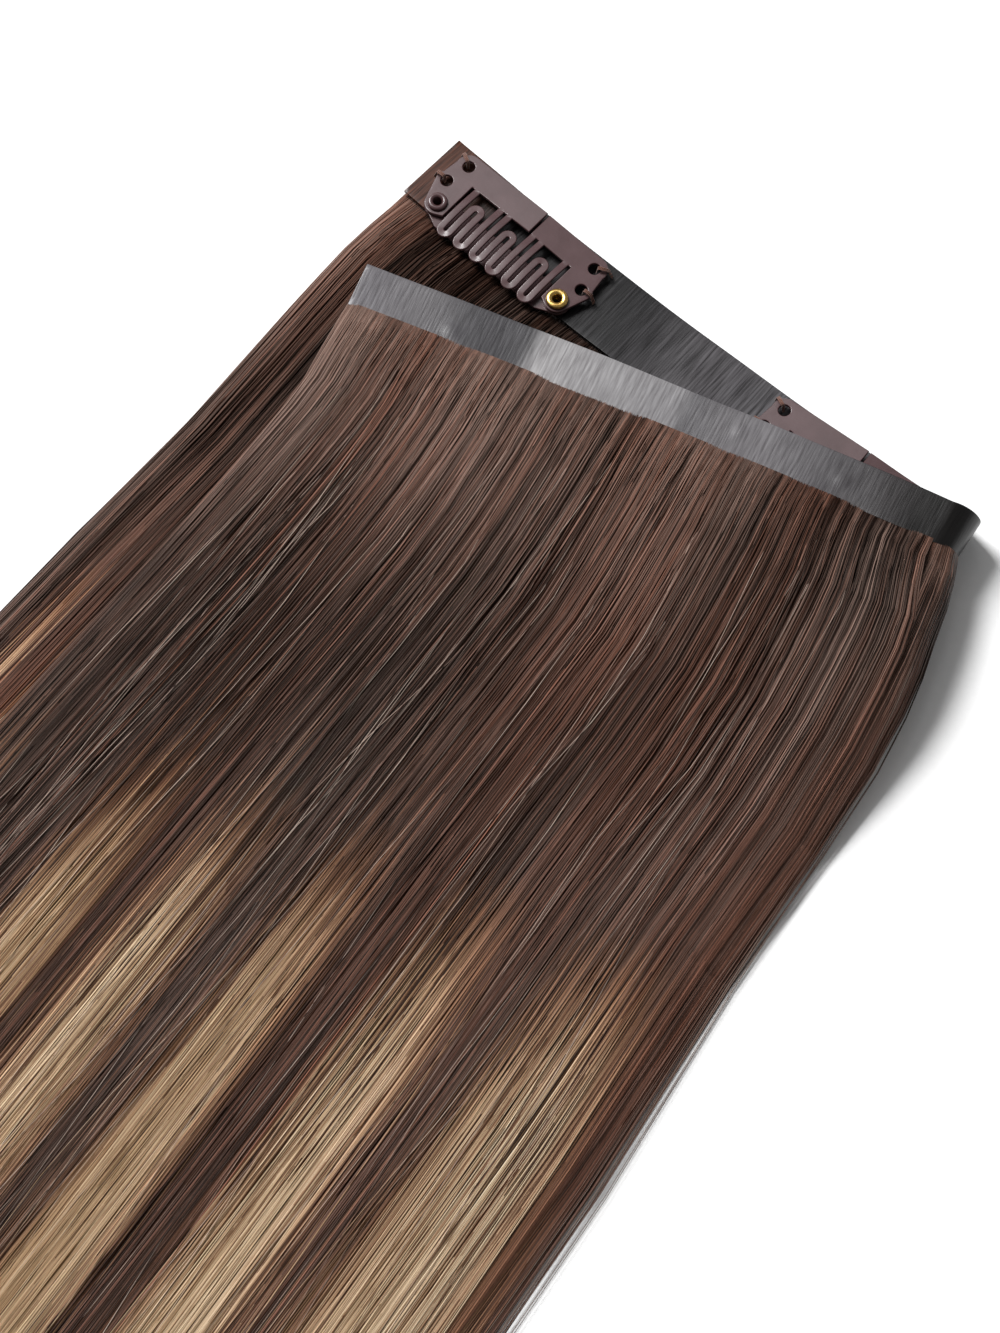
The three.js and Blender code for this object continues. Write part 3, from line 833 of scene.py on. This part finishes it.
def layer_rows(layer, share):
    """Bottom and top places of a layer at each row, for each share of its width from the left."""
    leg = "lower" if layer == "lower" else "upper"
    roots = LOWER_ROOTS if layer == "lower" else UPPER_ROOTS
    bottoms, tops = [], []
    point, across, _ = leg_place(leg, LEG_LENGTHS[leg] * (1 - share))
    for down, bottom, top, flare in roots:
        place = point + across * down
        place[:, 0] += flare * share**FLARE_POWER
        for rows, height in ((bottoms, bottom), (tops, top)):
            row = place.copy()
            row[:, 2] = height
            rows.append(row)
    for y, lower_left, lower_right, upper_left, upper_right, lower_top, upper_top in PILE:
        left, right = (lower_left, lower_right) if layer == "lower" else (upper_left, upper_right)
        low, high = (0, lower_top) if layer == "lower" else (lower_top + 0.2, upper_top)
        flare, tuck = (FLARE, TUCK) if layer == "upper" else (0, 0)
        x = left + (right - flare - tuck - left) * share + flare * share**FLARE_POWER
        for rows, height in ((bottoms, low), (tops, high)):
            rows.append(np.stack([x, np.full_like(x, y), np.full_like(x, height)], -1))
    bottoms, tops = np.array(bottoms), np.array(tops)
    if layer == "upper":
        for row, lean in enumerate(LEAN):
            bottoms[row, :, 0] -= lean * (1 - share)
            tops[row, :, 0] -= lean * (1 - share)
    return bottoms, tops


def fold_rows(turn, reach):
    """Places in the fold's own hair, which hangs round the fold: turn is the share of the half circle."""
    point, across, normal = fold_place(turn)
    angle = turn * math.pi
    rows = []
    for down, flare in ((7.3, 0.2), (9.5, 0.9), (12.9, 2.4)):
        row = point + across * down - normal * 0.3 * reach[:, None]
        row[:, 0] += flare * np.sin(angle)
        rows.append(row)
    sections = [(-19, -3.4, 4.2, 0.2, 12.3), (-28, -2.4, 6.9, 0, 12.6), (-40, -0.5, 9.6, 0, 12.5)]
    for y, _, lower_right, _, upper_right, _, upper_top in PILE:
        sections.append((y, lower_right, upper_right, 0, 0.93 * upper_top))
    for y, left, right, low, high in sections:
        x = left + (right - left) * np.sin(angle) ** 0.6 * reach
        z = (low + high) / 2 - (high - low) / 2 * np.cos(angle) * reach
        rows.append(np.stack([x, np.full_like(x, y), z], -1))
    return np.array(rows)


# How wide the strip is that sinks at the pile's right edge, the share of its height that it loses, how far it
# moves inwards, and the least height of a strand over the surface
SINKING_WIDTH = 17
SINKING_SHARE = 0.84
SINKING_INWARDS = 2.7
LEAST_HEIGHT = 0.12


def settle(places):
    """Lets the pile's right edge sink to the surface further down, where nothing holds the hair up."""
    edge = np.interp(-places[..., 1], -PILE[:, 0], PILE[:, 4])
    outwards = np.clip(1 - (edge - places[..., 0]) / SINKING_WIDTH, 0, 1)
    sunk = outwards**1.4 * smoothstep(-14, -74, places[..., 1])
    places[..., 2] *= 1 - SINKING_SHARE * sunk
    places[..., 0] -= SINKING_INWARDS * sunk


def along_rows(rows, distances):
    """Smooth places at distances along each strand, through its rows. distances is steps by strands."""
    steps = np.linalg.norm(np.diff(rows, axis=0), axis=2)
    run = np.concatenate([np.zeros((1, rows.shape[1])), np.cumsum(steps, axis=0)])
    slope = np.empty_like(rows)
    slope[1:-1] = (rows[2:] - rows[:-2]) / (run[2:] - run[:-2])[..., None]
    slope[0] = (rows[1] - rows[0]) / (run[1] - run[0])[..., None]
    slope[-1] = (rows[-1] - rows[-2]) / (run[-1] - run[-2])[..., None]
    strand = np.arange(rows.shape[1])
    places = []
    for wanted in distances:
        after = np.clip((run[1:-1] <= wanted).sum(axis=0), 0, len(rows) - 2)
        start, end = run[after, strand], run[after + 1, strand]
        span = (end - start)[:, None]
        t = ((wanted - start) / (end - start))[:, None]
        a, b = rows[after, strand], rows[after + 1, strand]
        u, v = slope[after, strand] * span, slope[after + 1, strand] * span
        places.append(
            a * (2 * t**3 - 3 * t**2 + 1) + u * (t**3 - 2 * t**2 + t)
            + b * (3 * t**2 - 2 * t**3) + v * (t**3 - t**2)
        )
    return np.array(places)


# Colour along the hair: painted lights start below the photograph's middle and widen towards the tips.
# Each light: layer, share of the width, half width in share, and where it starts.
LIGHTS = [
    ("lower", 0.07, 0.008, -94),
    ("lower", 0.13, 0.03, -118),
    ("lower", 0.24, 0.04, -118),
    ("lower", 0.43, 0.05, -124),
    ("lower", 0.66, 0.045, -112),
    ("lower", 0.87, 0.04, -120),
    ("upper", 0.03, 0.04, -140),
    ("upper", 0.238, 0.042, -110),
    ("upper", 0.379, 0.045, -113),
    ("upper", 0.537, 0.045, -107),
    ("upper", 0.72, 0.05, -107),
    ("upper", 0.913, 0.068, -107),
    ("fold", 0.3, 0.12, -190),
    ("fold", 0.85, 0.14, -150),
]


def wander(share, cells, seed):
    """Smooth random values from -1 to 1 across the width."""
    values = np.random.default_rng(seed).uniform(-1, 1, cells + 3)
    place = np.clip(share, 0, 1) * cells
    low = place.astype(int)
    t = place - low
    t = t * t * (3 - 2 * t)
    return values[low] * (1 - t) + values[low + 1] * t


def lightening(layer, share, y, jitter):
    """How far each place is lightened, from 0 to 1."""
    total = np.zeros_like(y)
    tips = smoothstep(-150, -330, y)
    for owner, centre, half, start in LIGHTS:
        if owner != layer:
            continue
        width = half * (1 + 0.9 * tips)
        within = np.exp(-np.abs((share - centre) / width) ** 3.6)
        begun = smoothstep(start + 22 * jitter, start - 36 + 22 * jitter, y)
        total = np.maximum(total, within * begun * smoothstep(-1.1, -0.75, jitter))
    lowlights = 0.5 + 0.5 * wander(share, 31, 5)
    kept_dark = 0.4 + 0.6 * smoothstep(0.15, 0.5, lowlights + 0.25 * jitter)
    ends = smoothstep(-200, -330, y + 30 * jitter) * kept_dark
    return np.clip(np.maximum(total, 0.92 * ends), 0, 1)


SEEDS = {"lower": 100, "upper": 200, "fold": 300}

# Soft patches on the upper layer. Each: middle and half width as shares of the width, middle and half length
# in mm, and how much lighter and warmer the hair is there.
PATCHES = [
    (0.68, 0.13, 45, 26, 0.12, 0.25),
    (0.2, 0.17, 62, 26, -0.15, 0),
    (0.75, 0.035, 16, 20, -0.1, 0),
    # A painted sheen just below the band
    (0.33, 0.12, 18, 16, 0.1, 0),
]


def common_tones(share, run, strand_luck, seed, root):
    """Shade and warmth that every layer has: broad zones, locks, wisps and the single strand's own luck."""
    lock_light = 0.06 * wander(share, 17, seed) + 0.06 * wander(share, 75, seed + 1)
    wisp_light = (0.12 + 0.14 * root) * wander(share, 260, seed + 6)
    zone_light = 0.15 * wander(share, 8, seed + 7) * np.sin(run / 34 + 5 * wander(share, 5, seed + 8))
    strand_light = 0.24 * strand_luck[0] + 0.5 * smoothstep(0.88, 1, strand_luck[0])
    shade = 0.125 + lock_light + wisp_light + zone_light + strand_light + 0.15 * smoothstep(230, 370, run)
    lock_warmth = 0.25 * wander(share, 11, seed + 2) + 0.15 * wander(share, 60, seed + 3)
    zone_warmth = 0.25 * wander(share, 13, seed + 9) * np.sin(run / 47 + 2)
    # Near the band the hair is made less warm, a painted sheen.
    return shade, 0.4 + lock_warmth + zone_warmth + 0.3 * strand_luck[1] - 0.2 * root


def tones(layer, share, run, strand_luck):
    """Shade and warmth at each place, with painted sheen, painted light and painted shade laid on the hair's
    own colour. run is how far it is from the band in mm.
    """
    root = 1 - smoothstep(12, 64, run)
    shade, warmth = common_tones(share, run, strand_luck, SEEDS[layer], root)
    # Painted light for the pile's right side and the fold's hair, which slope away from the key light:
    # strongest from a few mm to about 40 mm below the band.
    painted_side_light = smoothstep(4, 34 if layer == "upper" else 40, run) * (1 - 0.6 * smoothstep(36, 100, run))
    if layer == "upper":
        for middle, half, middle_run, half_run, lighter, warmer in PATCHES:
            patch = np.exp(-(((share - middle) / half) ** 2) - ((run - middle_run) / half_run) ** 2)
            shade = shade + lighter * patch
            warmth = warmth + warmer * patch
        # Painted sheen just below the band, over the left and middle; it fades out towards the right, where
        # the hair is made a little darker instead.
        shade = shade + 0.3 * root * (1 - 1.1 * smoothstep(0.62, 0.93, share))
        # Painted light on the right side of the upper layer, which slopes away from the key light.
        shade = shade + 0.1 * smoothstep(0.55, 0.78, share) * smoothstep(40, 85, run)
        shade = shade + 0.29 * smoothstep(0.76, 0.92, share) * painted_side_light
    elif layer == "lower":
        copper = np.exp(-(((share - 0.1) / 0.045) ** 2))
        copper = copper * smoothstep(66, 104, run) * (1 - smoothstep(150, 210, run))
        rim = 1 - smoothstep(0.015, 0.09, share)
        # Near the band the lower layer gets painted shade, where it lies under the clips and the upper layer,
        # while its left rim is lighter; copper comes in further down.
        shade = shade * (1 - 0.55 * root) + root * (0.62 * rim + 0.04) + 0.34 * copper
        shade = shade + 0.14 * (1 - smoothstep(0.05, 0.12, share)) * smoothstep(30, 70, run)
        warmth = warmth + 0.8 * copper + 0.3 * root * rim
    else:
        # Painted light on the fold's hair.
        shade = shade + 0.36 * painted_side_light
    return np.clip(shade, 0, 1), np.clip(warmth, 0, 1)


def hair_attributes(mesh, shade, warmth, lightened, painted_glint):
    for word, values in (("shade", shade), ("warmth", warmth), ("lightened", lightened), ("painted_glint", painted_glint)):
        attribute = mesh.attributes.new(word, "FLOAT", "POINT")
        attribute.data.foreach_set("value", np.asarray(values, np.float32).ravel())


def mesh_piece(name, places, faces, finish):
    mesh = bpy.data.meshes.new(name)
    mesh.from_pydata(place_points(places), [], faces)
    mesh.materials.append(finish)
    mesh.shade_smooth()
    piece = new_object(name, mesh)
    return piece


# Beds: the mass of the hair under its top strands, combed into ridges

def closed_tube_faces(rings, around):
    faces = []
    for r in range(rings - 1):
        base = r * around
        for i in range(around):
            j = (i + 1) % around
            faces.append((base + i, base + j, base + around + j, base + around + i))
    faces.append(tuple(range(around - 1, -1, -1)))
    faces.append(tuple(range((rings - 1) * around, rings * around)))
    return faces


EDGE = 0.03
BED_DROP = 0.45
BED_LENGTH = HAIR_LENGTH - 16
FOLD_BED_LENGTH = HAIR_LENGTH - 60


def crown(layer, share):
    """The pile is rounded down at its edges, but not where the upper layer goes over into the fold's hair."""
    left = np.clip(share / EDGE, 0, 1)
    right = np.clip((1 - share) / EDGE, 0, 1)
    return 1 - 0.6 * (1 - left) ** 2 - (0.12 if layer == "upper" else 0.6) * (1 - right) ** 2


def bed_piece(layer, share, distances, places):
    """One closed bed from its rings, with the hair's colours."""
    rings, around = distances.shape
    faces = closed_tube_faces(rings, around)
    piece = mesh_piece(f"{layer}_hair_bed", places.reshape(-1, 3), faces, bed_finish)
    luck = random.uniform(-1, 1, (2, around))
    shade, warmth = tones(layer, share, distances, 0.5 * luck)
    if layer != "fold":
        # The bed is lighter towards the tips, which lessens its painted shade there.
        shade = np.clip(shade + 0.5 * smoothstep(200, 360, distances), 0, 1)
    lightened = lightening(layer, np.repeat(share[None], rings, 0), places[..., 1], 0.4 * luck[:1])
    hair_attributes(piece.data, shade, warmth, lightened, 0 * shade)
    return piece


def bed(layer, node, around_top=170, around_bottom=30, rings=80):
    over = np.linspace(0.004, 0.996, around_top)
    under = np.linspace(0.996, 0.004, around_bottom)
    share = np.concatenate([over, under])
    bottoms, tops = layer_rows(layer, share)
    length = np.linspace(0, 1, rings) ** 1.5 * BED_LENGTH
    distances = np.repeat(length[:, None], len(share), 1)
    distances *= 1 - 0.05 * np.abs(wander(share, 40, 9))
    low, high = along_rows(bottoms, distances), along_rows(tops, distances)
    ridge = 0.5 * np.abs(wander(share, 84, 7)) + 0.3 * np.abs(wander(share, 40, 8))
    is_top = np.arange(len(share)) < around_top
    spread = smoothstep(4, 40, distances)
    drop = (BED_DROP + ridge * spread) * smoothstep(0, 5, distances)
    thin = 1 - 0.9 * smoothstep(HAIR_LENGTH - 120, BED_LENGTH, distances)
    height = np.where(is_top, (high - low)[..., 2] * crown(layer, share) * thin - drop, 0.05)
    places = low.copy()
    places[..., 2] += np.maximum(height, 0.05 + 0.1 * is_top)
    settle(places)
    return belongs(bed_piece(layer, share, distances, places), [node])


bed("lower", "hair_lower")
bed("upper", "hair_upper")


def fold_bed(around=56, rings=70):
    turn = np.concatenate([np.linspace(0.0, 1.0, around), np.full(8, 0.5)])
    reach = np.concatenate([np.full(around, 0.8), np.linspace(0.02, -0.02, 8)])
    rows = fold_rows(turn, reach)
    length = np.linspace(0, 1, rings) ** 1.4 * FOLD_BED_LENGTH
    distances = np.repeat(length[:, None], len(turn), 1)
    places = along_rows(rows, distances)
    settle(places)
    places[..., 2] = np.maximum(places[..., 2], 0.1)
    return belongs(bed_piece("fold", turn, distances, places))


fold_bed()


# Strands: thin closed prisms, thousands to a piece. Each follows the pile and wanders a little on its own.

STATIONS = np.array([0, 4, 9, 15, 21, 28, 38, 54, 80, 120, 180, 270, 1000])
SIDES = 3
TIP_TAPER = (0.97, 0.88, 0.5)
STRAND_RADIUS = 0.12
FOLD_STRAND_RADIUS = 0.11
FLYAWAY_RADIUS = 0.06
# The furthest that a strand strays from its place in a layer and in the fold's hair
LAYER_STRAY = 14
FOLD_STRAY = 5


def strand_piece(name, layer, share, distances, places, radius, luck, painted_glint=0.0):
    """One mesh of many strands. places is steps by strands, and luck is two numbers for each strand."""
    steps, count = places.shape[:2]
    run = np.gradient(places, axis=0)
    run /= np.linalg.norm(run, axis=2, keepdims=True)
    sideways = np.cross(run, (0, 0, 1))
    sideways /= np.linalg.norm(sideways, axis=2, keepdims=True)
    upwards = np.cross(sideways, run)
    taper = np.ones(steps)
    taper[-3:] = TIP_TAPER
    rings = []
    for side in range(SIDES):
        angle = 2 * math.pi * side / SIDES + math.pi / 2
        offset = math.cos(angle) * sideways + math.sin(angle) * upwards
        rings.append(places + offset * (radius[None, :, None] * taper[:, None, None]))
    points = np.stack(rings, 2)
    index = np.arange(steps * count * SIDES).reshape(steps, count, SIDES)
    near, far = index[:-1], index[1:]
    walls = []
    for i in range(SIDES):
        j = (i + 1) % SIDES
        walls.append(np.stack([near[..., i], far[..., i], far[..., j], near[..., j]], -1).reshape(-1, 4))
    caps = [index[0], index[-1][:, ::-1]]
    faces = np.concatenate(walls).tolist() + np.concatenate(caps).tolist()
    piece = mesh_piece(name, points.reshape(-1, 3), faces, hair_finish)
    shade, warmth = tones(layer, share, distances, luck)
    every = np.repeat(share[None], steps, 0)
    lightened = lightening(layer, every, places[..., 1], luck[:1])
    # Painted highlight: whitish dashes along the strand.
    painted_glint_dashes = painted_glint * (0.5 + 0.5 * np.sin(distances / 9 + 20 * luck[0])) ** 2
    every_corner = (np.repeat(v[..., None], SIDES, 2) for v in (shade, warmth, lightened, painted_glint_dashes))
    hair_attributes(piece.data, *every_corner)
    return belongs(piece)


def lengths(count):
    """Hair cut by hand: most strands reach the full length, and some end earlier."""
    return (HAIR_LENGTH - 6) * (1 - 0.22 * random.random(count) ** 3)


def strand_stations(count, stations=STATIONS):
    full = lengths(count)
    return np.minimum(stations[:, None], full[None] * np.linspace(0.86, 1, len(stations))[:, None])


def drift(distances, count, amount):
    """Sideways wander of each strand in mm: a slow slant and two gentle waves."""
    grown = distances / HAIR_LENGTH
    slant = random.normal(0, 1.2, count) * np.where(random.random(count) < 0.3, 4, 1) * amount * grown
    wave = np.zeros_like(distances)
    for wavelength, size in ((190, 0.4), (70, 0.05)):
        phase = random.uniform(0, 2 * math.pi, count)
        stretch = random.uniform(0.7, 1.4, count)
        wave += size * np.sin(distances / wavelength * 2 * math.pi * stretch + phase)
    aside = random.normal(0, 0.3, count) * smoothstep(0, 18, distances)
    return slant + aside + amount * wave * smoothstep(0, 40, distances)


LOCKS = 66


def layer_strands(
    name, layer, share, depth, fineness=STRAND_RADIUS, amount=1.0, lift=0.0, painted_glint=0.0, stations=STATIONS
):
    """Strands of a layer. depth is how far below the pile's top each lies, as a share of the pile."""
    count = len(share)
    distances = strand_stations(count, stations)
    lock_middle = (np.floor(share * LOCKS) + 0.5) / LOCKS
    within = (share - lock_middle) * LOCKS * 2
    bottoms, tops = layer_rows(layer, share)
    _, gathered_tops = layer_rows(layer, lock_middle)
    low, high = along_rows(bottoms, distances), along_rows(tops, distances)
    pull = 0.4 * smoothstep(30, 260, distances)[..., None]
    high += pull * (along_rows(gathered_tops, distances) - high)
    height = (high - low)[..., 2]
    lock_height = 0.3 * wander(lock_middle, LOCKS, SEEDS[layer] + 4) - 0.35 * within**2
    spread = smoothstep(3, 40, distances)
    places = high.copy()
    places[..., 2] = low[..., 2] + height * crown(layer, share) * (1 - depth)
    places[..., 2] += (lock_height * (depth < 0.6) + lift) * spread
    near_root = smoothstep(0, 5, distances) * (1 - smoothstep(30, 90, distances))
    places[..., 2] += near_root * random.uniform(-0.5, 0.35, count) * (depth < 0.6)
    inwards = np.clip((share - 0.5) / -0.47, -1, 1)
    wandering = LAYER_STRAY * np.tanh(drift(distances, count, amount) / LAYER_STRAY)
    places[..., 0] += np.where(np.abs(inwards) == 1, inwards * np.abs(wandering), wandering)
    thin = smoothstep(HAIR_LENGTH - 140, HAIR_LENGTH, distances)
    settle(places)
    places[..., 2] = np.maximum(places[..., 2] * (1 - 0.45 * thin), LEAST_HEIGHT)
    radius = fineness * random.uniform(0.65, 1.3, count)
    luck = random.uniform(-1, 1, (2, count))
    return strand_piece(name, layer, share, distances, places, radius, luck, painted_glint)


def shares_and_depths(count, low, high):
    """Where strands lie across a part of the width: most in the pile's top, and some on its underside."""
    share = random.uniform(low, high, count)
    depth = 0.3 * random.random(count) ** 2.2
    under = random.random(count) < 0.05
    depth[under] = random.uniform(0.93, 0.99, under.sum())
    return share, depth


def side_strands(count):
    """Places that fill the pile's left side from top to bottom."""
    return 0.012 * random.random(count), random.uniform(0, 0.95, count)


for word, low, high in (("left", 0, 0.34), ("middle", 0.34, 0.67), ("right", 0.67, 1)):
    share, depth = shares_and_depths(2080, low, high)
    if word == "left":
        more_share, more_depth = side_strands(380)
        share, depth = np.concatenate([share, more_share]), np.concatenate([depth, more_depth])
    layer_strands(f"upper_hair_{word}", "upper", share, depth)

groups = [shares_and_depths(1900, 0, 1), shares_and_depths(500, 0, 0.18), side_strands(120)]
layer_strands("lower_hair", "lower", *(np.concatenate(values) for values in zip(*groups)))


def fold_strands(count=1900):
    turn = random.random(count) ** 0.8
    reach = 1 - 0.22 * random.random(count) ** 2
    distances = strand_stations(count)
    places = along_rows(fold_rows(turn, reach), distances)
    places[..., 0] += FOLD_STRAY * np.tanh(drift(distances, count, 0.8) / FOLD_STRAY)
    settle(places)
    places[..., 2] = np.maximum(places[..., 2], LEAST_HEIGHT)
    radius = FOLD_STRAND_RADIUS * random.uniform(0.65, 1.3, count)
    luck = random.uniform(-1, 1, (2, count))
    return strand_piece("fold_hair", "fold", turn, distances, places, radius, luck)


fold_strands()


def crossing_strands(count=64):
    """Single hairs that lie across the pile, pale in dashes where a painted highlight lies on them."""
    share = random.uniform(0.05, 0.9, count)
    layer_strands(
        "crossing_strands", "upper", share, np.full(count, -0.01), fineness=FLYAWAY_RADIUS, amount=4.5,
        lift=0.35, painted_glint=0.75, stations=np.linspace(0, HAIR_LENGTH, 24),
    )


def edge_flyaways(count=26):
    """A few hairs that stand off the pile's right edge."""
    turn = random.uniform(0.3, 0.75, count)
    distances = strand_stations(count)
    places = along_rows(fold_rows(turn, np.ones(count)), distances)
    places[..., 0] += random.uniform(0.5, 5, count) * np.sin(np.clip(distances / 330, 0, 1) * math.pi) ** 1.5
    settle(places)
    places[..., 2] = np.maximum(places[..., 2], LEAST_HEIGHT)
    luck = random.uniform(-1, 1, (2, count))
    radius = np.full(count, FLYAWAY_RADIUS)
    # These hairs get a faint painted highlight in dashes.
    strand_piece("edge_flyaways", "fold", turn, distances, places, radius, luck, painted_glint=0.3)


crossing_strands()
edge_flyaways()
